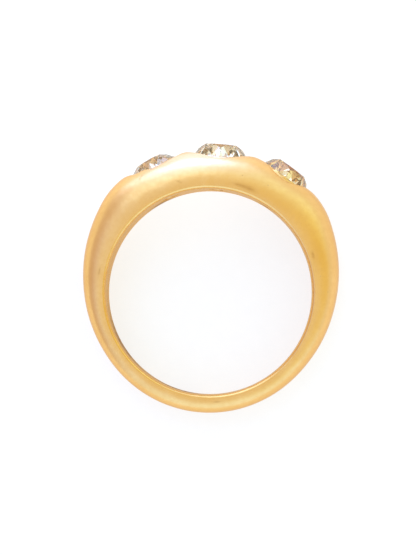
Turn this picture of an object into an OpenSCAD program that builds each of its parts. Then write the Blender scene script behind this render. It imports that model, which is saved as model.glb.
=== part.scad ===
// Three stone ring: a gold band, made in one piece with its domed head,
// and three round cut stones sunk in a row in the top of the head.
// The ring lies on its side. The origin is where the finger axis meets the
// face that it lies on, +Y runs to the middle stone and +X to the right stone.

/* [Band] */
// Inside diameter of the band
bore_d = 17.3; // [15:0.1:20]
// Metal outside the bore at the shoulders, where the band is thickest
head_t = 3.42; // [3.3:0.01:4.2]
// Metal outside the bore at the back of the finger
shank_t = 1.51; // [1.2:0.01:2.2]
// Width along the finger across the top of the head
head_w = 7.2; // [6.8:0.1:9]
// Width along the finger at the back
shank_w = 3.5; // [2.5:0.1:5]
// Radius of the eased edge at each end of the bore
rim_r = 0.22; // [0.1:0.01:0.3]
// Squareness of the dome: 2 is an ellipse, and more is boxier
dome_power = 2.5; // [2.3:0.05:3]

/* [Middle stone] */
// Diameter of the middle stone at its girdle
centre_d = 4.7; // [4:0.1:4.9]
// Width of its table from corner to corner
centre_table = 2.8; // [1.8:0.1:3]
// Height of its crown from the girdle to the table
centre_crown = 1.15; // [0.8:0.05:1.3]
// Depth of its girdle below the shoulders' outside
centre_sink = 0.76; // [0.7:0.01:0.95]

/* [Left stone] */
// Diameter of the left stone at its girdle
left_d = 4.4; // [3.6:0.1:4.6]
// Width of its table from corner to corner
left_table = 2.27; // [1.6:0.01:2.6]
// Height of its crown from the girdle to the table
left_crown = 0.95; // [0.7:0.05:1.2]
// Depth of its girdle below the shoulders' outside
left_sink = 0.78; // [0.7:0.01:0.95]
// Angle round the finger from the middle stone
left_angle = 29.2; // [28:0.1:34]
// Lean away from the middle stone, past square to the finger axis
left_lean = 5.7; // [0:0.1:7]

/* [Right stone] */
// Diameter of the right stone at its girdle
right_d = 4.4; // [3.6:0.1:4.6]
// Width of its table from corner to corner
right_table = 2.7; // [1.6:0.01:2.9]
// Height of its crown from the girdle to the table
right_crown = 1.1; // [0.7:0.05:1.2]
// Depth of its girdle below the shoulders' outside
right_sink = 0.62; // [0.6:0.01:0.95]
// Angle round the finger from the middle stone
right_angle = 28.8; // [28:0.1:34]
// Lean away from the middle stone, past square to the finger axis
right_lean = 3.5; // [0:0.1:7]

/* [Cut of the stones] */
// Height of the girdle's plain edge
girdle_t = 0.12; // [0.08:0.01:0.2]
// Slope of the main facets below the girdle
pavilion_angle = 40; // [36:0.5:42]
// Width of the small flat that ends each stone below
culet_w = 0.5; // [0.3:0.05:0.8]

/* [Seats] */
// Gap between a stone and the metal round it
seat_gap = 0.05; // [0.04:0.01:0.08]
// Diameter of the hole drilled from each seat through to the bore
drill_d = 1.6; // [1:0.1:2]

/* [Hidden] */

// The metal's sections round the band, from the head to the back of the finger.
// Columns: angle from the middle stone, thickness as a share of the way from
// shank_t to head_t, and height of the flat side as a share of that thickness
ANGLE = 0;
THICK = 1;
FLAT = 2;
SECTIONS = [
  [0, 0.93, 0.20],
  [14, 0.93, 0.20],
  [30, 0.97, 0.21],
  [43, 1.00, 0.23],
  [51, 0.93, 0.25],
  [60, 0.75, 0.28],
  [72, 0.535, 0.30],
  [90, 0.27, 0.32],
  [106, 0.12, 0.33],
  [122, 0.025, 0.34],
  [140, 0, 0.34],
  [180, 0, 0.34]
];

// The stones from left to right. Columns: place round the finger, lean to the
// right, girdle diameter, table width, crown height, and depth of the girdle
// below the shoulders
PLACE = 0;
LEAN = 1;
GIRDLE = 2;
TABLE = 3;
CROWN = 4;
SINK = 5;
FACETS = 8;
half_facet = 180 / FACETS;
LEFT = [-left_angle, -left_lean, left_d, left_table, left_crown, left_sink];
CENTRE = [0, 0, centre_d, centre_table, centre_crown, centre_sink];
RIGHT = [right_angle, right_lean, right_d, right_table, right_crown, right_sink];

// The crown's star facets reach this share of the way from table to girdle,
// and the facets under the girdle this share of the way in to the culet
STAR_REACH = 0.5;
LOWER_REACH = 0.6;

// Left on the stone's corners and ground off its girdle
grind = 0.02;
// Left on the band's sides and filed off flat
filed = 0.02;
stations = 72;
dome_steps = 7;
rim_steps = 3;
rim_turn = 75;
round_fn = 96;

bore_r = bore_d / 2;
core_r = bore_r - 1;
shoulder_r = bore_r + head_t;
// The side faces are flat and lean in towards the back of the finger
side_rise = (head_w - shank_w) / 2 / (shoulder_r + bore_r + shank_t);
side_angle = atan(side_rise);
middle_half_w = shank_w / 2 + side_rise * (bore_r + shank_t);
// Longer than anything that it cuts through
past = 2 * head_w;

// Half the width of the band at a height y above the finger axis
function half_width(y) = middle_half_w + side_rise * y;

// Value of one column at an angle, on a smooth curve through the rows
function slope_at(column, i) =
  i <= 0 || i >= len(SECTIONS) - 1 ? 0 :
  (SECTIONS[i + 1][column] - SECTIONS[i - 1][column])
  / (SECTIONS[i + 1][ANGLE] - SECTIONS[i - 1][ANGLE]);
function row_below(angle, i = 0) =
  i >= len(SECTIONS) - 2 || SECTIONS[i + 1][ANGLE] >= angle ? i : row_below(angle, i + 1);
function blend(p0, m0, p1, m1, t) =
  p0 * (2 * t^3 - 3 * t^2 + 1) + m0 * (t^3 - 2 * t^2 + t)
  + p1 * (3 * t^2 - 2 * t^3) + m1 * (t^3 - t^2);
function column_at(column, angle) =
  let (i = row_below(angle))
  let (span = SECTIONS[i + 1][ANGLE] - SECTIONS[i][ANGLE])
  blend(SECTIONS[i][column], slope_at(column, i) * span,
        SECTIONS[i + 1][column], slope_at(column, i + 1) * span,
        (angle - SECTIONS[i][ANGLE]) / span);

// Half a section at one angle, as points of radius and half width, from inside
// the bore, over the eased edge and the flat side, to the top of the dome
function thickness_at(from_head) = shank_t + (head_t - shank_t) * column_at(THICK, from_head);
function half_section(angle) =
  let (from_head = abs(angle))
  let (thickness = thickness_at(from_head))
  let (flat_r = bore_r + thickness * column_at(FLAT, from_head))
  let (dome_h = bore_r + thickness - flat_r)
  let (edge_r = bore_r + rim_r)
  let (edge_w = half_width(edge_r * cos(angle)) + filed - rim_r)
  let (flat_w = half_width(flat_r * cos(angle)) + filed)
  concat(
    [[core_r, edge_w + rim_r * cos(rim_turn) - (edge_r - rim_r * sin(rim_turn) - core_r) * tan(rim_turn)]],
    [for (k = [rim_steps:-1:0])
      let (turn = rim_turn * k / rim_steps)
      [edge_r - rim_r * sin(turn), edge_w + rim_r * cos(turn)]],
    [for (k = [0:dome_steps])
      let (turn = 90 * k / dome_steps)
      [flat_r + dome_h * sin(turn)^(2 / dome_power), flat_w * cos(turn)^(2 / dome_power)]]
  );
function whole_section(angle) =
  let (half = half_section(angle))
  let (last = len(half) - 1)
  concat([for (p = half) [p[0], p[1]]], [for (k = [last - 1:-1:0]) [half[k][0], -half[k][1]]]);

module band_sweep() {
  rings = [for (i = [0:stations - 1])
    let (angle = 360 * i / stations)
    let (wrapped = angle > 180 ? angle - 360 : angle)
    [for (p = whole_section(wrapped)) [p[0] * sin(angle), p[0] * cos(angle), p[1]]]];
  count = len(rings[0]);
  points = [for (ring = rings) each ring];
  faces = [for (i = [0:stations - 1]) for (j = [0:count - 1])
    let (next_i = (i + 1) % stations)
    let (next_j = (j + 1) % count)
    each [[i * count + j, i * count + next_j, next_i * count + next_j],
          [i * count + j, next_i * count + next_j, next_i * count + j]]];
  polyhedron(points, faces, convexity = 6);
}

// Everything outside one of the band's two flat side faces
module beyond_side() {
  size = 4 * past;
  translate([0, 0, middle_half_w])
    rotate([side_angle, 0, 0])
      translate([-size / 2, -size / 2, 0])
        cube(size);
}

module flat_sided_sweep() {
  difference() {
    band_sweep();
    beyond_side();
    mirror([0, 0, 1])
      beyond_side();
  }
}

// Radii and heights of a stone's corners, in its own frame, where the girdle's
// upper edge is at z = 0. The main facets run from table to girdle and from
// girdle to culet, and the others start where two of these meet
function girdle_r(s) = s[GIRDLE] / 2;
function corner_r(s) = (girdle_r(s) + grind) / cos(half_facet / 2);
function table_r(s) = s[TABLE] / 2;
function table_edge(s) = table_r(s) * cos(half_facet);
function star_r(s) = table_edge(s) + STAR_REACH * (corner_r(s) - table_edge(s));
function star_z(s) =
  s[CROWN] * (corner_r(s) - star_r(s) * cos(half_facet)) / (corner_r(s) - table_r(s));
function lower_r(s) = (1 - LOWER_REACH) * corner_r(s);
function lower_z(s) = -girdle_t - (corner_r(s) - lower_r(s) * cos(half_facet)) * tan(pavilion_angle);
function culet_z(s) = -girdle_t - (corner_r(s) - culet_w / 2) * tan(pavilion_angle);

// A peak with flat sides, which meet it at a slope, a reach from its axis and a
// level. Its first side faces an angle, and its base is far below the stone
module peak(sides, first, reach, level, slope) {
  base_r = (reach + (level + past) / tan(slope)) / cos(180 / sides);
  corners = [for (i = [0:sides - 1])
    let (a = first + 360 * (i + 0.5) / sides)
    [base_r * cos(a), base_r * sin(a), -past]];
  tip = [0, 0, level + reach * tan(slope)];
  polyhedron(
    concat(corners, [tip]),
    concat([[for (i = [0:sides - 1]) i]],
           [for (i = [0:sides - 1]) [i, sides, (i + 1) % sides]]),
    convexity = 2);
}

// A round stone: a disc with its girdle's upper edge at z = 0, cut down to flat
// facets. Mains, stars and upper facets are above the girdle, and lower facets
// and mains below it. A star facet faces along the row of stones
module cut_stone(s) {
  n = FACETS;
  main_slope = atan(s[CROWN] / (corner_r(s) - table_r(s)));
  star_slope = atan((s[CROWN] - star_z(s)) / (star_r(s) - table_edge(s)));
  side_reach = girdle_r(s) + grind;
  skew = cos(half_facet / 2);
  upper_slope = atan(star_z(s) / (corner_r(s) - star_r(s)) / skew);
  lower_slope = atan((-girdle_t - lower_z(s)) / (corner_r(s) - lower_r(s)) / skew);
  rotate([0, 0, half_facet])
    intersection() {
      translate([0, 0, culet_z(s)])
        cylinder(r = girdle_r(s), h = s[CROWN] - culet_z(s), $fn = round_fn);
      peak(n, 0, corner_r(s), 0, main_slope);
      peak(n, half_facet, table_edge(s), s[CROWN], star_slope);
      peak(2 * n, half_facet / 2, side_reach, 0, upper_slope);
      mirror([0, 0, 1])
        peak(n, 0, corner_r(s), girdle_t, pavilion_angle);
      mirror([0, 0, 1])
        peak(2 * n, half_facet / 2, side_reach, girdle_t, lower_slope);
    }
}

// The hollow that a stone sits in, a gap away from it all round: the metal is
// burnished over the girdle and bears under it, and a drilled hole runs through
// to the bore
module seat(s) {
  r = girdle_r(s) + seat_gap;
  ground_off = corner_r(s) - girdle_r(s);
  upper_rise = star_z(s) / (corner_r(s) - star_r(s));
  lower_fall = (-girdle_t - lower_z(s)) / (corner_r(s) - lower_r(s));
  top_z = ground_off * upper_rise + seat_gap;
  bearing_z = -girdle_t - ground_off * lower_fall - seat_gap;
  drill_r = drill_d / 2;
  rotate_extrude($fn = round_fn)
    polygon([
      [0, -past],
      [drill_r, -past],
      [drill_r, bearing_z - (r - drill_r) * lower_fall],
      [r, bearing_z],
      [r, top_z],
      [star_r(s) + seat_gap, star_z(s) + seat_gap],
      [table_r(s) + seat_gap, s[CROWN] + seat_gap],
      [table_r(s) + seat_gap, past],
      [0, past]
    ]);
}

// Puts a stone, or its seat, in its place in the head
module at_place(s) {
  rotate([0, 0, -s[PLACE]])
    translate([0, shoulder_r - s[SINK], 0])
      rotate([0, 0, -s[LEAN]])
        rotate([-90, 0, 0])
          children();
}

// Lays the ring down on one of its flat sides
module lay_on_side() {
  rotate([side_angle, 0, 0])
    translate([0, 0, middle_half_w])
      children();
}

module band() {
  color("goldenrod")
    lay_on_side()
      difference() {
        flat_sided_sweep();
        translate([0, 0, -past])
          cylinder(r = bore_r, h = 2 * past, $fn = round_fn);
        for (s = [LEFT, CENTRE, RIGHT])
          at_place(s)
            seat(s);
      }
}

module left_stone() {
  color("wheat")
    lay_on_side()
      at_place(LEFT)
        cut_stone(LEFT);
}

module centre_stone() {
  color("wheat")
    lay_on_side()
      at_place(CENTRE)
        cut_stone(CENTRE);
}

module right_stone() {
  color("wheat")
    lay_on_side()
      at_place(RIGHT)
        cut_stone(RIGHT);
}

band();
left_stone();
centre_stone();
right_stone();
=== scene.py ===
import math

import bmesh
import bpy
import numpy as np
from mathutils import Matrix, Vector
from mathutils.bvhtree import BVHTree
from mathutils.geometry import delaunay_2d_cdt


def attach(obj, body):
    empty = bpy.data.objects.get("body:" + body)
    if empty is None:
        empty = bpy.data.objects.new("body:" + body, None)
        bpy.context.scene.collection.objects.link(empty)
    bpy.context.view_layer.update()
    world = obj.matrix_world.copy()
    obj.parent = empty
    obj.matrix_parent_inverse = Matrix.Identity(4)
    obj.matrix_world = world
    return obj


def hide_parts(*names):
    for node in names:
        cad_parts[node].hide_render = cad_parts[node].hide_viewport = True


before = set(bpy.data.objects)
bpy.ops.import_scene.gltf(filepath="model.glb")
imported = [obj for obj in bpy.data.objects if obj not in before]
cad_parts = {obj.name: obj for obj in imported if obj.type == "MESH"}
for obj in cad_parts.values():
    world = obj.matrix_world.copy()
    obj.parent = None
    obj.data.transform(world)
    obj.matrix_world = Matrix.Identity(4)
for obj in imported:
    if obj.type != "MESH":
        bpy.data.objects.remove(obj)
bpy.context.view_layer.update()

# Band
# Shank, shoulders, head and the metal round the stones are one casting in yellow
# gold. Its seats are drilled through to the bore, the stones drop in from above,
# and the metal is burnished over their edges until it lies close on the facets.
scene = bpy.context.scene
MM = 0.001

# Sizes in mm, as in the part's source
BORE_R = 8.65
HEAD_T = 3.42
SHANK_T = 1.51
HEAD_W = 7.2
SHANK_W = 3.5
RIM_R = 0.22
SHOULDER_R = BORE_R + HEAD_T
SIDE_RISE = (HEAD_W - SHANK_W) / 2 / (SHOULDER_R + BORE_R + SHANK_T)
SIDE_ANGLE = math.atan(SIDE_RISE)
MIDDLE_HALF_W = SHANK_W / 2 + SIDE_RISE * (BORE_R + SHANK_T)

# Columns: angle from the middle stone, thickness as a share of the way from
# shank to shoulder, height of the flat side as a share of that thickness, and
# squareness of the dome, where 2 is an ellipse
THICK, FLAT, SQUARE = 1, 2, 3
SECTIONS = np.array([
    (0, 0.93, 0.12, 2.35),
    (14, 0.93, 0.12, 2.35),
    (30, 0.97, 0.12, 2.25),
    (43, 1.00, 0.12, 2.42),
    (51, 0.93, 0.12, 2.45),
    (60, 0.75, 0.13, 2.5),
    (72, 0.535, 0.14, 2.6),
    (90, 0.27, 0.15, 2.7),
    (106, 0.12, 0.16, 2.7),
    (122, 0.025, 0.16, 2.7),
    (140, 0, 0.16, 2.7),
    (180, 0, 0.16, 2.7),
])

# How the hammered and worn crest differs from a true curve, in mm. Columns:
# angle from the middle stone, change of radius, and degrees that it reaches
CREST_WEAR = (
    (-28.0, -0.06, 6.0),
    (-14.0, 0.05, 4.0),
    (0.0, -0.05, 5.0),
    (13.5, 0.08, 4.5),
    (28.8, -0.12, 6.0),
)


def section_value(column, angle):
    """One column of the section table at any angle in degrees, on a smooth curve."""
    rows = SECTIONS[:, 0]
    values = SECTIONS[:, column]
    slopes = np.zeros(len(rows))
    slopes[1:-1] = (values[2:] - values[:-2]) / (rows[2:] - rows[:-2])
    from_head = np.abs(angle)
    i = np.clip(np.searchsorted(rows, from_head) - 1, 0, len(rows) - 2)
    span = rows[i + 1] - rows[i]
    t = (from_head - rows[i]) / span
    return (values[i] * (2 * t**3 - 3 * t**2 + 1)
            + slopes[i] * span * (t**3 - 2 * t**2 + t)
            + values[i + 1] * (3 * t**2 - 2 * t**3)
            + slopes[i + 1] * span * (t**3 - t**2))


def half_width(height):
    """Half the band's width at a height above the finger axis."""
    return MIDDLE_HALF_W + SIDE_RISE * height


def flat_edge(angle):
    """Radius and half width where the flat side turns into the dome, and thickness."""
    thick = SHANK_T + (HEAD_T - SHANK_T) * section_value(THICK, angle)
    radius = BORE_R + thick * section_value(FLAT, angle)
    return radius, half_width(radius * np.cos(np.radians(angle))), thick


def dome_radius(angle, share):
    """Radius of the dome at an angle, at a share of the flat side's half width."""
    flat_r, _, thick = flat_edge(angle)
    rise = BORE_R + thick - flat_r
    across = np.clip(np.abs(share), 0, 1)
    power = section_value(SQUARE, angle)
    radius = flat_r + rise * (1 - across**power) ** (1 / power)
    for place, change, reach in CREST_WEAR:
        radius = radius + change * np.exp(-((angle - place) / reach) ** 2) * (1 - across**2)
    return radius


def lay_down(points):
    """Points round an upright finger axis, in mm, as the ring lies on its side, in metres."""
    points = np.asarray(points, dtype=float)
    c, s = math.cos(SIDE_ANGLE), math.sin(SIDE_ANGLE)
    y, z = points[..., 1], points[..., 2] + MIDDLE_HALF_W
    return np.stack([points[..., 0], y * c - z * s, y * s + z * c], -1) * MM


# The three seats, in mm. Columns: angle round the finger, lean to the right past
# square, depth of the girdle below the shoulders, girdle radius, height of
# crown, and how far the metal is worn down at the stone's left and right
SEATS = {
    "left_stone": (-29.2, -5.7, 0.78, 2.2, 0.95, 0.4, 0.2),
    "centre_stone": (0.0, 0.0, 0.76, 2.35, 1.15, 0.14, 0.12),
    "right_stone": (28.8, 3.5, 0.62, 2.2, 1.1, 0.04, 0.08),
}
GIRDLE_T = 0.12
PAVILION_SLOPE = math.tan(math.radians(40))
DRILL_R = 0.8
# Between the burnished metal and a stone
GAP = 0.02
# Points round each seat
TURNS = 192
# The worn metal rises over this reach beyond a seat's edge, and is level after
# this many reaches
DIP_REACH = 0.5
DIP_END = 3
# The wear stays above this depth under the girdle
DIP_DEPTH = 1
# Rays down onto the facets start this far above the table, and are this long
RAY_START = 1
RAY_LENGTH = 3


def turning_point(low, high, holds, halvings):
    """Where holds goes from true to false between low and high, for each point round a seat."""
    for _ in range(halvings):
        middle = (low + high) / 2
        held = holds(middle)
        low, high = np.where(held, middle, low), np.where(held, high, middle)
    return (low + high) / 2


class Seat:
    """Where one stone sits: its axis, the stone's own facets and the metal's edge on them."""

    def __init__(self, stone, place, lean, sink, girdle_r, crown, left_dip, right_dip):
        turn = math.radians(place + lean)
        at = math.radians(place)
        self.middle = (SHOULDER_R - sink) * np.array([math.sin(at), math.cos(at), 0])
        self.up = np.array([math.sin(turn), math.cos(turn), 0])
        self.along = np.array([math.cos(turn), -math.sin(turn), 0])
        self.across = np.array([0, 0, 1.0])
        self.girdle_r = girdle_r
        self.crown = crown
        self.dips = left_dip, right_dip
        self.theta = np.arange(TURNS) * 2 * math.pi / TURNS
        self.facets = BVHTree.FromObject(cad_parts[stone], bpy.context.evaluated_depsgraph_get())
        # Found twice, because the metal is lower once it is worn down beside the edge
        self.edge = None
        for _ in range(2):
            self.edge = self.metal_edge()

    def points(self, reach, height):
        """Points all round, at reaches from the seat's axis and heights over the girdle."""
        reach = np.broadcast_to(reach, self.theta.shape)
        height = np.broadcast_to(height, self.theta.shape)
        return (self.middle + (reach * np.cos(self.theta))[:, None] * self.along
                + (reach * np.sin(self.theta))[:, None] * self.across
                + height[:, None] * self.up)

    def crown_height(self, reach):
        """Height of the stone's top over its girdle, found on the stone's own facets."""
        starts = lay_down(self.points(reach, self.crown + RAY_START))
        down = Vector(lay_down(np.zeros(3)) - lay_down(self.up)).normalized()
        heights = np.zeros(TURNS)
        for k, start in enumerate(starts):
            distance = self.facets.ray_cast(Vector(start), down, RAY_LENGTH * MM)[3]
            if distance is not None:
                heights[k] = self.crown + RAY_START - distance / MM
        return heights

    def dip(self, points):
        """How far the metal is worn down near the seat, fading away from the edge."""
        offset = points - self.middle
        x, y = offset @ self.along, offset @ self.across
        reach = np.hypot(x, y)
        theta = np.mod(np.arctan2(y, x), 2 * math.pi)
        edge = np.interp(theta, np.append(self.theta, 2 * math.pi), np.append(self.edge, self.edge[0]))
        beyond = np.clip((reach - edge) / DIP_REACH, 0, DIP_END)
        near_the_top = offset @ self.up > -DIP_DEPTH
        turned = x / np.maximum(reach, 1e-6)
        left, right = np.maximum(-turned, 0) ** 2, np.maximum(turned, 0) ** 2
        depth = self.dips[0] * left + self.dips[1] * right
        return depth * np.exp(-beyond**2) * near_the_top

    def surface_radius(self, points):
        """Radius of the outer surface over the place of each point, with this seat's dip."""
        angle = np.degrees(np.arctan2(points[:, 0], points[:, 1]))
        radius = dome_radius(angle, points[:, 2] / flat_edge(angle)[1])
        return radius if self.edge is None else radius - self.dip(points)

    def surface_height(self, reach):
        """Height of the outer surface over the girdle at these reaches, all round."""
        def in_the_metal(height):
            p = self.points(reach, height)
            return np.hypot(p[:, 0], p[:, 1]) < self.surface_radius(p)
        return turning_point(np.full(TURNS, -2.0), np.full(TURNS, 2.0), in_the_metal, halvings=40)

    def metal_edge(self):
        """Reach at which the outer surface meets the stone's crown, all round."""
        def stone_is_higher(reach):
            return self.crown_height(reach) + GAP > self.surface_height(reach)
        nearest = np.full(TURNS, 0.6 * self.girdle_r)
        farthest = np.full(TURNS, self.girdle_r)
        return turning_point(nearest, farthest, stone_is_higher, halvings=18)


seats = [Seat(stone, *row) for stone, row in SEATS.items()]


def on_surface(angle, share):
    """Points of the outer surface at angles and shares of the flat side's half width."""
    angle, share = np.broadcast_arrays(np.asarray(angle, float), np.asarray(share, float))
    width = share * flat_edge(angle)[1]
    turn = np.radians(angle)
    radius = dome_radius(angle, share)
    plain = np.stack([radius * np.sin(turn), radius * np.cos(turn), width], -1)
    worn_r = radius - sum(seat.dip(plain) for seat in seats)
    return np.stack([worn_r * np.sin(turn), worn_r * np.cos(turn), width], -1)


def on_bore(angle, share):
    """Points of the bore's wall at angles and shares of its half width."""
    angle, share = np.broadcast_arrays(np.asarray(angle, float), np.asarray(share, float))
    turn = np.radians(angle)
    width = half_width((BORE_R + RIM_R) * np.cos(turn)) - RIM_R - SIDE_RISE * RIM_R * np.cos(turn)
    return np.stack([BORE_R * np.sin(turn), BORE_R * np.cos(turn), share * width], -1)


# The mesh is a fine grid that runs round the whole band, with a window left in the
# head, outside and inside, that is filled round the seats and the drilled holes.
# The window ends at this angle, and outside at this share of the half width
HEAD_END = 54.0
WINDOW = 0.84
# Points round the head and the back, across the window and the bore, from the
# window out to the flat side, down the flat side, and round the rim
ROUND_HEAD, ROUND_BACK = 181, 281
ACROSS_WINDOW, ACROSS_BORE = 49, 17
DOWN_DOME, DOWN_SIDE, ROUND_RIM = 15, 9, 8
# Power that crowds the dome's points where it turns down to the flat side
CROWDING = 0.8

points, faces = [], []


def add_points(new):
    """Adds points to the band and returns their numbers, in the same arrangement."""
    start = sum(len(p) for p in points)
    flat = new.reshape(-1, 3)
    points.append(flat)
    return start + np.arange(len(flat)).reshape(new.shape[:-1])


def add_grid(new, around=False):
    """Adds a grid of points with its faces, closed round its first direction if asked."""
    n = add_points(new)
    if around:
        n = np.concatenate([n, n[:1]])
    corners = n[:-1, :-1], n[1:, :-1], n[1:, 1:], n[:-1, 1:]
    faces.extend(np.stack(corners, -1).reshape(-1, 4).tolist())


head_stations = np.linspace(-HEAD_END, HEAD_END, ROUND_HEAD)
back_stations = np.linspace(HEAD_END, 360 - HEAD_END, ROUND_BACK)[1:-1]
stations = np.concatenate([head_stations, back_stations])
stations = np.where(stations > 180, stations - 360, stations)
cosine, sine = np.cos(np.radians(stations)), np.sin(np.radians(stations))


def turned(radius, width):
    """Points at a radius and a width for every station."""
    radius = np.broadcast_to(radius, width.shape)
    return np.stack([radius * sine[:, None], radius * cosine[:, None], width], -1)


flat_r = flat_edge(stations)[0]
rim_edge_r = BORE_R + RIM_R
rim_w = half_width(rim_edge_r * cosine) - RIM_R
to_flat_side = np.linspace(0, 1, DOWN_DOME)
dome_shares = np.cos(math.acos(WINDOW ** (1 / CROWDING)) * (1 - to_flat_side)) ** CROWDING
to_rim = np.linspace(0, 1, DOWN_SIDE)[None, :]
into_bore = np.linspace(0, math.pi / 2, ROUND_RIM)[None, :]
for side in (-1, 1):
    # The dome from the window's edge out to the flat side
    add_grid(on_surface(stations[:, None], side * dome_shares[None, :]), around=True)
    # The flat side, from the dome in to the rim of the bore
    side_r = flat_r[:, None] * (1 - to_rim) + rim_edge_r * to_rim
    add_grid(turned(side_r, side * half_width(side_r * cosine[:, None])), around=True)
    # The eased rim, a quarter turn from the flat side into the bore
    eased_r = rim_edge_r - RIM_R * np.sin(into_bore)
    eased_w = rim_w[:, None] + RIM_R * np.cos(into_bore)
    lean_in = SIDE_RISE * (eased_r - rim_edge_r) * cosine[:, None]
    add_grid(turned(eased_r, side * (eased_w + lean_in)), around=True)
window_shares = np.linspace(-WINDOW, WINDOW, ACROSS_WINDOW)
bore_shares = np.linspace(-1, 1, ACROSS_BORE)
back_angles = np.append(stations[ROUND_HEAD - 1:], -HEAD_END)
add_grid(on_surface(back_angles[:, None], window_shares[None, :]))
add_grid(on_bore(back_angles[:, None], bore_shares[None, :]))

# Seats from the lip down: the metal rolls over the edge, follows the stone's
# crown under the lip, steps round the girdle, bears below it, and runs through
# the drilled hole to the bore. All in mm: width of the lip, reach of the loops of
# points round it, and how far the metal is tucked in under its edge
LIP = 0.06
LOOP_REACHES = (0.14, 0.21, 0.3, 0.4)
TUCK = 0.05
# Just inside the girdle, where the crown can still be found
EDGE_IN = 0.01
# The wall round the girdle, from its top down to the bearing
WALL_TOP = 0.09
BEARING = -GIRDLE_T - 0.08


def loop_round(seat, reach):
    """A loop on the outer surface at a reach from a seat's edge, as angle and share."""
    out = seat.edge + reach
    p = seat.points(out, seat.surface_height(out))
    angle = np.degrees(np.arctan2(p[:, 0], p[:, 1]))
    return np.stack([angle, p[:, 2] / flat_edge(angle)[1]], -1)


def seat_wall(seat, lip):
    """Points of a seat from its lip to the bore, and the loop where it meets the bore."""
    outer = on_surface(lip[:, 0], lip[:, 1])
    sharp = seat.points(seat.edge, seat.surface_height(seat.edge))
    inner_r = seat.girdle_r - EDGE_IN
    tucked_r = np.minimum(seat.edge + TUCK, inner_r)
    tucked = seat.points(tucked_r, seat.crown_height(tucked_r) + GAP)
    profile = []
    for t in np.linspace(0, 1, 7):
        profile.append((1 - t) ** 2 * outer + 2 * t * (1 - t) * sharp + t**2 * tucked)
    for t in (0.4, 0.75, 1.0):
        r = tucked_r * (1 - t) + inner_r * t
        profile.append(seat.points(r, seat.crown_height(r) + GAP))
    wall_r = seat.girdle_r + GAP
    profile.append(seat.points(wall_r, WALL_TOP))
    profile.append(seat.points(wall_r, BEARING))
    for t in (0.35, 0.7, 1.0):
        r = wall_r * (1 - t) + DRILL_R * t
        profile.append(seat.points(r, BEARING - (wall_r - r) * PAVILION_SLOPE))
    # The drilled hole, from the seat's floor to where each line of it meets the bore
    hole_top = BEARING - (wall_r - DRILL_R) * PAVILION_SLOPE
    rim = seat.points(DRILL_R, 0.0)
    outwards = rim[:, 0] * seat.up[0] + rim[:, 1] * seat.up[1]
    beyond_bore = rim[:, 0] ** 2 + rim[:, 1] ** 2 - BORE_R**2
    hole_end = -outwards + np.sqrt(outwards**2 - beyond_bore)
    for t in (0.33, 0.66):
        profile.append(seat.points(DRILL_R, hole_top * (1 - t) + hole_end * t))
    end = seat.points(DRILL_R, hole_end)
    angle = np.degrees(np.arctan2(end[:, 0], end[:, 1]))
    share = end[:, 2] / on_bore(angle, 1.0)[:, 2]
    profile.append(on_bore(angle, share))
    return np.stack(profile, 1), np.stack([angle, share], -1)


def fill_window(place, angles, shares, loops, rings, clear, scale):
    """Fills the head's window with triangles that leave the loops open.

    loops and rings are arrays of angle and share, and no plain grid point comes
    nearer than clear to a loop. scale gives both in mm, for even triangles.
    """
    a, s = np.meshgrid(angles, shares, indexing="ij")
    grid = np.stack([a.ravel(), s.ravel()], -1)
    keep = np.ones(len(grid), bool)
    for loop in loops:
        middle = loop.mean(0)
        spokes = (loop - middle) * scale
        spoke_turn = np.arctan2(spokes[:, 1], spokes[:, 0])
        order = np.argsort(spoke_turn)
        spoke_reach = np.hypot(spokes[order, 0], spokes[order, 1])
        off = (grid - middle) * scale
        edge = np.interp(np.arctan2(off[:, 1], off[:, 0]), spoke_turn[order], spoke_reach, period=2 * math.pi)
        keep &= np.hypot(off[:, 0], off[:, 1]) > edge + clear
    on_border = (np.isclose(grid[:, 0], angles[0]) | np.isclose(grid[:, 0], angles[-1])
                 | np.isclose(grid[:, 1], shares[0]) | np.isclose(grid[:, 1], shares[-1]))
    grid = grid[keep | on_border]
    counts = [len(loop) for loop in loops]
    starts = (len(grid) + np.cumsum([0] + counts)).tolist()
    edges = [(start + k, start + (k + 1) % count)
             for start, count in zip(starts, counts) for k in range(count)]
    flat = np.concatenate([grid, *loops, *rings])
    made, _, triangles, sources, *_ = delaunay_2d_cdt([Vector(p * scale) for p in flat], edges, [], 0, 1e-7)
    made = np.array([tuple(v) for v in made]) / scale
    loop_of = np.full(len(made), -1)
    for new, old in enumerate(sources):
        for o in old:
            if starts[0] <= o < starts[-1]:
                loop_of[new] = np.searchsorted(starts, o, side="right") - 1
    n = add_points(place(made[:, 0], made[:, 1]))
    for triangle in triangles:
        owners = {loop_of[v] for v in triangle}
        if len(owners) > 1 or -1 in owners:
            faces.append([int(n[v]) for v in triangle])


lips, rings, holes = [], [], []
for seat in seats:
    lips.append(loop_round(seat, LIP))
    rings += [loop_round(seat, reach) for reach in LOOP_REACHES]
    wall_points, hole = seat_wall(seat, lips[-1])
    add_grid(wall_points, around=True)
    holes.append(hole)

# About how many mm a degree and a whole share are, outside and in the bore
OUTSIDE_SCALE = np.array([math.radians(1) * 11.6, 3.3])
BORE_SCALE = np.array([math.radians(1) * BORE_R, 3.1])
fill_window(on_surface, head_stations, window_shares, lips, rings, clear=0.4, scale=OUTSIDE_SCALE)
fill_window(on_bore, head_stations, bore_shares, holes, [], clear=0.08, scale=BORE_SCALE)

mesh = bpy.data.meshes.new("gold_band")
mesh.from_pydata(lay_down(np.concatenate(points)).tolist(), [], faces)
gold_band = bpy.data.objects.new("gold_band", mesh)
scene.collection.objects.link(gold_band)

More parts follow.
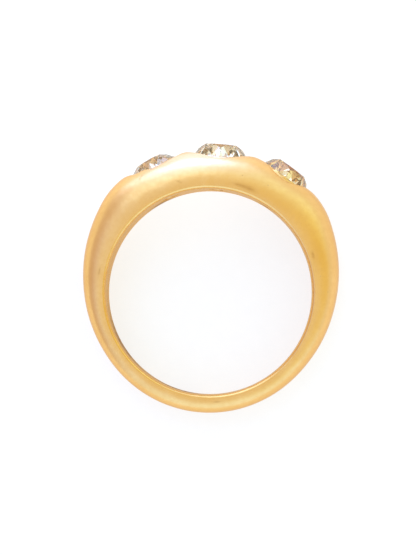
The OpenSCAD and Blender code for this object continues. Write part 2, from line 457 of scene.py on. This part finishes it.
bm = bmesh.new()
bm.from_mesh(mesh)
bmesh.ops.remove_doubles(bm, verts=bm.verts, dist=2e-7)
bmesh.ops.recalc_face_normals(bm, faces=bm.faces)
for face in bm.faces:
    face.smooth = True
bm.to_mesh(mesh)
bm.free()
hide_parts("band")
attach(gold_band, "root")


def stand_up(coordinates):
    """The opposite of lay_down: radius, angle and width in mm and degrees from points in metres."""
    c, s = math.cos(SIDE_ANGLE), math.sin(SIDE_ANGLE)
    x, y, z = (coordinates / MM).T
    high, wide = y * c + z * s, z * c - y * s - MIDDLE_HALF_W
    return np.hypot(x, high), np.degrees(np.arctan2(x, high)), wide


def paint(name, values):
    """Keeps one value for each point of the band, which its material can read."""
    mesh.attributes.new(name, "FLOAT", "POINT").data.foreach_set("value", np.asarray(values, np.float32))


def fade(value, none, full):
    """0 at none, 1 at full, and a smooth change between them."""
    t = np.clip((value - none) / (full - none), 0, 1)
    return t * t * (3 - 2 * t)


coordinates = np.empty(len(mesh.vertices) * 3)
mesh.vertices.foreach_get("co", coordinates)
from_axis, around, off_middle = stand_up(coordinates.reshape(-1, 3))

# The finger has polished the rim, and worn the bore's wall
paint("polish", fade(from_axis, BORE_R + 0.32, BORE_R + 0.2))
paint("wall", fade(from_axis, BORE_R + 0.12, BORE_R + 0.03))

# A painted highlight: the head is made pale beside the stones, most of all left of the middle one.
# In degrees: where it is palest, and how far that reaches to the left and right
HIGHLIGHT_MIDDLE, HIGHLIGHT_LEFT, HIGHLIGHT_RIGHT = -10, 21, 17
off_crest = np.abs(off_middle) / flat_edge(around)[1]
along_head = (around - HIGHLIGHT_MIDDLE) / np.where(around < HIGHLIGHT_MIDDLE, HIGHLIGHT_LEFT, HIGHLIGHT_RIGHT)
paint("pale", fade(off_crest, 1.05, 0.75) * (1 - 0.8 * fade(off_crest, 0.6, 0.3))
      * fade(from_axis, BORE_R + 1, BORE_R + 1.6) * np.exp(-along_head**2))

# Darker brown patches on the bore's wall. Columns: angle, degrees that each
# reaches, and how far up the lying ring's wall it goes, in mm over the middle
BROWN_PATCHES = (
    (-34.0, 6.0, -1.2),
    (-126.0, 20.0, 0.4),
    (-168.0, 14.0, -0.4),
)
patch_sum = np.zeros(len(from_axis))
for at, reach, up_to in BROWN_PATCHES:
    patch_sum += np.exp(-((around - at) / reach) ** 2) * fade(off_middle, up_to + 0.5, up_to)
paint("dirt", np.clip(patch_sum, 0, 1) * fade(from_axis, BORE_R + 0.1, BORE_R + 0.02))

# Short dark rubs. Columns: angle and radius of the middle, half length round the
# band, half height, in mm, and slope outwards to the right
RUBS = (
    (16.8, 9.25, 0.55, 0.17, 0.0),
    (11.5, 9.29, 0.5, 0.1, 0.0),
    (-19.5, 9.5, 0.2, 0.08, -0.6),
    (-35.3, 11.1, 0.22, 0.07, 0.4),
    (66.0, 9.25, 0.3, 0.07, 0.0),
    (-84.0, 9.3, 0.3, 0.06, 0.0),
    (171.0, 9.2, 0.25, 0.06, 0.0),
)
rubbed = np.zeros(len(from_axis))
for at, out, half_length, half_height, slope in RUBS:
    along = np.radians(around - at) * out
    off = from_axis - out - slope * along
    rubbed += np.exp(-(along / half_length) ** 2 - (off / half_height) ** 2)
paint("rubbed", np.clip(rubbed, 0, 1))


class Nodes:
    """A node tree that is built up from named steps."""

    def __init__(self, tree):
        self.tree = tree

    def feed(self, socket, value):
        """Links an output to a socket, or sets the socket to a value."""
        if isinstance(value, bpy.types.NodeSocket):
            self.tree.links.new(value, socket)
        elif hasattr(socket.default_value, "__len__") and len(value) == 3 and len(socket.default_value) == 4:
            socket.default_value = (*value, 1)
        else:
            socket.default_value = value

    def step(self, kind, output=0, inputs=(), **settings):
        """Adds a node, with its inputs in order or by name, and returns one output."""
        node = self.tree.nodes.new("ShaderNode" + kind)
        for name, value in settings.items():
            setattr(node, name, value)
        pairs = inputs.items() if isinstance(inputs, dict) else enumerate(inputs)
        for key, value in pairs:
            self.feed(node.inputs[key], value)
        return node.outputs[output]

    def maths(self, operation, *values):
        """One sum on single values."""
        return self.step("Math", inputs=values, operation=operation)

    def ramp(self, value, none, full, low=0.0, high=1.0, curve="SMOOTHSTEP"):
        """low where value is none, high where it is full."""
        return self.step("MapRange", inputs=(value, none, full, low, high), interpolation_type=curve)


class Finish(Nodes):
    """A material that is built up from named steps."""

    def __init__(self, name):
        self.material = bpy.data.materials.new(name)
        self.material.use_nodes = True
        super().__init__(self.material.node_tree)

    def set(self, **values):
        """Sets or links the shader's own sockets, named with _ for a space."""
        shader = self.tree.nodes["Principled BSDF"]
        for name, value in values.items():
            self.feed(shader.inputs[name.replace("_", " ")], value)

    def painted(self, name):
        """A value that paint has kept on the mesh."""
        return self.step("Attribute", "Fac", attribute_name=name)

    def mix(self, share, low, high):
        """Colours low and high mixed by a share of high."""
        node = self.tree.nodes.new("ShaderNodeMix")
        node.data_type = "RGBA"
        for key, value in (("Factor", share), ("A", low), ("B", high)):
            socket = next(i for i in node.inputs if i.name == key and i.enabled)
            self.feed(socket, value)
        return next(o for o in node.outputs if o.enabled)

    def streaks(self, where, turn, long, fine):
        """Fine streaks in one direction: noise that is stretched along its own x."""
        along = self.step("Mapping", inputs={"Vector": where, "Rotation": turn,
                                             "Scale": (1 / long, 1 / fine, 1 / fine)})
        return self.step("TexNoise", inputs={"Vector": along, "Scale": 1.0, "Detail": 2.0})


gold = Finish("satin_yellow_gold")
in_mm = gold.step("VectorMath", inputs={0: gold.step("TexCoord", "Object"), "Scale": 1 / MM},
                  operation="SCALE")
polish = gold.painted("polish")
wall = gold.painted("wall")
pale = gold.painted("pale")
cloud = gold.step("TexNoise", inputs={"Vector": in_mm, "Scale": 0.45, "Detail": 3.0, "Roughness": 0.55})
mottle = gold.step("TexNoise", inputs={"Vector": in_mm, "Scale": 2.6, "Detail": 4.0, "Roughness": 0.6})
dirt = gold.maths("MULTIPLY", gold.painted("dirt"), gold.ramp(mottle, 0.35, 0.6, 0.3, 0.9))
rub_grain = gold.streaks(in_mm, (0.0, 0.0, 0.25), 0.5, 0.05)
dark_rub = gold.maths("MULTIPLY", gold.painted("rubbed"), gold.ramp(rub_grain, 0.35, 0.6, 0.6, 1.0))
# Scratches. Columns: turn of the streaks, their length and their width in mm
SCRATCHES = (
    ((0.0, 0.0, 0.5), 1.6, 0.05),
    ((0.3, 0.9, -0.7), 1.2, 0.045),
    ((0.6, -0.4, 1.4), 0.9, 0.06),
    ((-0.8, 0.5, 2.4), 1.4, 0.05),
)
one, two, three, four = [gold.streaks(in_mm, *row) for row in SCRATCHES]
scratches = gold.maths("ADD", gold.maths("ADD", one, two), gold.maths("ADD", three, four))
# Pits: a few of the cells of a fine cell pattern, each with a small round dent and painted shade in it
cells = {"Vector": in_mm, "Scale": 1.4}
near = gold.step("TexVoronoi", "Distance", inputs=cells)
chance = gold.step("SeparateColor", inputs=(gold.step("TexVoronoi", "Color", inputs=cells),))
pits = gold.maths("MULTIPLY", gold.ramp(near, 0.075, 0.03), gold.ramp(chance, 0.8, 0.84))

warm = gold.mix(gold.ramp(cloud, 0.35, 0.65), (0.90, 0.54, 0.165), (0.93, 0.575, 0.19))
mottled = gold.mix(gold.ramp(mottle, 0.35, 0.7, 0.0, 0.5), warm, (0.86, 0.50, 0.145))
# Painted highlight: the base colour turns pale cream on the head beside the stones
highlighted = gold.mix(gold.maths("MULTIPLY", pale, 0.7), mottled, (0.97, 0.83, 0.64))
marked = gold.mix(gold.maths("MULTIPLY", dark_rub, 0.75), highlighted, (0.55, 0.27, 0.06))
# Painted shade darkens the metal in each pit
pits_shaded = gold.mix(gold.maths("MULTIPLY", pits, 0.6), marked, (0.5, 0.3, 0.1))
# The base colour turns darker brown in the patches on the bore's wall
with_patches = gold.mix(dirt, pits_shaded, (0.4, 0.22, 0.07))

satin = gold.ramp(mottle, 0.3, 0.7, 0.31, 0.38)
scratched = gold.maths("MULTIPLY_ADD", scratches, 0.03, gold.maths("SUBTRACT", satin, 0.06))
polished = gold.maths("MULTIPLY_ADD", polish, -0.16, scratched)
dulled = gold.maths("MULTIPLY_ADD", wall, 0.1, polished)
clear_shine = gold.maths("MULTIPLY_ADD", wall, -0.4, 0.4)

# Colour of the metal where it is seen at a slant, turned white by the painted highlight on the head and
# darker in the brown patches on the bore's wall
highlight_at_a_slant = gold.mix(pale, (0.82, 0.66, 0.48), (1.0, 1.0, 1.0))
clean_at_a_slant = gold.mix(wall, highlight_at_a_slant, (0.72, 0.56, 0.32))
at_a_slant = gold.mix(dirt, clean_at_a_slant, (0.45, 0.28, 0.12))

soft_wear = gold.step("Bump", inputs={"Strength": 0.5, "Distance": 0.1 * MM, "Height": cloud})
fine_wear = gold.step("Bump", inputs={"Strength": 0.16, "Distance": 0.01 * MM, "Height": scratches,
                                      "Normal": soft_wear})
dented = gold.step("Bump", inputs={"Strength": 0.6, "Distance": 0.04 * MM,
                                   "Height": gold.maths("MULTIPLY", pits, -1.0), "Normal": fine_wear})
gold.set(Base_Color=with_patches, Metallic=1.0, Roughness=dulled, Normal=dented, Specular_Tint=at_a_slant,
         Coat_Weight=clear_shine, Coat_Roughness=0.3)
mesh.materials.append(gold.material)

# Stones
# Three round old cut diamonds, pale champagne in colour, held by the metal that is
# burnished over their edges. They were cut by hand from different rough, so their
# tints differ, and the right one is the brownest.

# Columns: tint of the facets, and strength of the body colour, per metre
TINTS = {
    "left_stone": ((1.0, 0.92, 0.8), 60.0),
    "centre_stone": ((1.0, 0.92, 0.77), 65.0),
    "right_stone": ((0.95, 0.75, 0.47), 200.0),
}
for name, (tint, strength) in TINTS.items():
    stone = Finish("pale_champagne_" + name)
    stone.set(Base_Color=tint, Specular_Tint=(1.0, 0.75, 0.42), Transmission_Weight=1.0,
              Roughness=0.04, IOR=2.42)
    body_colour = stone.step("VolumeAbsorption", inputs={"Color": (0.99, 0.87, 0.57), "Density": strength})
    stone.feed(stone.tree.nodes["Material Output"].inputs["Volume"], body_colour)
    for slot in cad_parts[name].material_slots:
        slot.material = stone.material

# Floor, light and camera
# The ring lies on plain white paper in a studio tent. The paper glows evenly, and a
# painted pool of light brightens it most beyond the head, and the camera looks
# almost straight down, as the photo looks almost straight along the finger.
FLOOR_HALF = 1.0
floor_mesh = bpy.data.meshes.new("floor")
floor_mesh.from_pydata([(x * FLOOR_HALF, y * FLOOR_HALF, 0) for x, y in ((-1, -1), (1, -1), (1, 1), (-1, 1))],
                       [], [(0, 1, 2, 3)])
floor = bpy.data.objects.new("floor", floor_mesh)
scene.collection.objects.link(floor)
paper = Finish("white_paper")
on_paper = paper.step("TexCoord", "Object")
fibres = paper.step("TexNoise", inputs={"Vector": on_paper, "Scale": 900.0, "Detail": 4.0})
shade = paper.mix(fibres, (0.28, 0.28, 0.28), (0.32, 0.32, 0.32))
grain = paper.step("Bump", inputs={"Strength": 0.1, "Distance": 0.05 * MM, "Height": fibres})
# Painted pool of light: the paper's glow is stronger near this point beyond the head
GLOW_POOL_AT = (-8 * MM, 27 * MM, 0.0)
from_glow_pool = paper.step("VectorMath", "Value", inputs=(on_paper, GLOW_POOL_AT), operation="DISTANCE")
glow_pool = paper.ramp(from_glow_pool, 27 * MM, 10 * MM)
glow = paper.step("VectorMath", inputs={0: (0.2, 0.2, 0.2), "Scale": glow_pool}, operation="SCALE")
lit = paper.step("VectorMath", inputs=(glow, (0.74, 0.74, 0.74)))
paper.set(Base_Color=shade, Roughness=0.9, Specular_IOR_Level=0.0, Normal=grain,
          Emission_Color=lit, Emission_Strength=1.0)
floor_mesh.materials.append(paper.material)

# The camera stands this far from the ring, off the finger axis to the right, with
# the head tilted to the right in the picture
DISTANCE = 200 * MM
OFF_AXIS = math.radians(1.6)
HEAD_TILT = math.radians(4.6)
# Size of a pixel at the ring's middle, and height of the photo in pixels
PIXEL = MM / 11.85
PHOTO_H = 555
# How far right of and below the photo's centre the ring's middle is
RIGHT_OF_CENTRE = 1.5 * PIXEL
BELOW_CENTRE = 14.7 * PIXEL
SENSOR = 36

axis = Vector((0, -math.sin(SIDE_ANGLE), math.cos(SIDE_ANGLE)))
head = Vector((0, math.cos(SIDE_ANGLE), math.sin(SIDE_ANGLE)))
right = Vector((1, 0, 0))
ring_middle = Vector(lay_down((0, 0, 0)))
to_camera = axis * math.cos(OFF_AXIS) + right * math.sin(OFF_AXIS)
level = right * math.cos(OFF_AXIS) - axis * math.sin(OFF_AXIS)
image_up = head * math.cos(HEAD_TILT) - level * math.sin(HEAD_TILT)
image_right = level * math.cos(HEAD_TILT) + head * math.sin(HEAD_TILT)
camera_at = ring_middle + to_camera * DISTANCE
aim = ring_middle - image_right * RIGHT_OF_CENTRE + image_up * BELOW_CENTRE
look = (camera_at - aim).normalized()
side = image_up.cross(look).normalized()
up = look.cross(side)
camera_data = bpy.data.cameras.new("camera")
camera = bpy.data.objects.new("camera", camera_data)
scene.collection.objects.link(camera)
camera.matrix_world = Matrix((
    (side.x, up.x, look.x, camera_at.x),
    (side.y, up.y, look.y, camera_at.y),
    (side.z, up.z, look.z, camera_at.z),
    (0, 0, 0, 1)))
camera_data.sensor_width = SENSOR
camera_data.lens = SENSOR * DISTANCE / (PHOTO_H * PIXEL)
camera_data.clip_start = MM
camera_data.clip_end = 10
scene.camera = camera
scene.view_settings.view_transform = "Standard"

# Light from all round. Columns: degrees round the finger axis from the picture's
# right towards its top, degrees off the axis, degrees within which the light is
# full, degrees at which it is gone, and its colour, which may take light away
PANELS = (
    # The tent all round
    (0, 0, 179, 180, (0.88, 0.91, 0.98)),
    # The top light, its spill on the tent in front of it, and a second, smaller one
    (105, 88, 5, 42, (0.95, 1.25, 2.9)),
    (70, 52, 5, 45, (0.08, 0.22, 0.45)),
    (119, 38, 4, 24, (0.5, 0.8, 1.35)),
    # The pale table in front
    (-85, 70, 5, 70, (0.16, 0.42, 0.9)),
    # Left, a dim gap, and the paler tent between it and the camera
    (183, 78, 5, 66, (-0.18, -0.3, -0.3)),
    (180, 25, 5, 45, (0.0, 0.04, 0.3)),
    # Right, a warm panel, and the far edge of it
    (0, 25, 5, 50, (-0.03, -0.16, -0.68)),
    (36, 62, 5, 32, (0.15, 0.26, 0.05)),
)
world = bpy.data.worlds.new("studio")
scene.world = world
world.use_nodes = True
studio = Nodes(world.node_tree)
toward = studio.step("TexCoord", "Generated")


def panel(round_deg, off_deg, full_deg, none_deg, colour):
    """Light from one direction, from a row of the table."""
    turn, off = math.radians(round_deg), math.radians(off_deg)
    sideways = image_right * math.cos(turn) + image_up * math.sin(turn)
    direction = (to_camera * math.cos(off) + sideways * math.sin(off)).normalized()
    facing = studio.step("VectorMath", "Value", inputs=(toward, direction), operation="DOT_PRODUCT")
    share = studio.ramp(facing, math.cos(math.radians(none_deg)), math.cos(math.radians(full_deg)),
                        curve="SMOOTHERSTEP")
    return studio.step("VectorMath", inputs={0: colour, "Scale": share}, operation="SCALE")


light = panel(*PANELS[0])
for row in PANELS[1:]:
    light = studio.step("VectorMath", inputs=(light, panel(*row)), operation="ADD")
studio.feed(studio.tree.nodes["Background"].inputs["Color"], light)
# Light turns back many times inside a stone
scene.cycles.max_bounces = 40
scene.cycles.transmission_bounces = 40
scene.cycles.glossy_bounces = 12
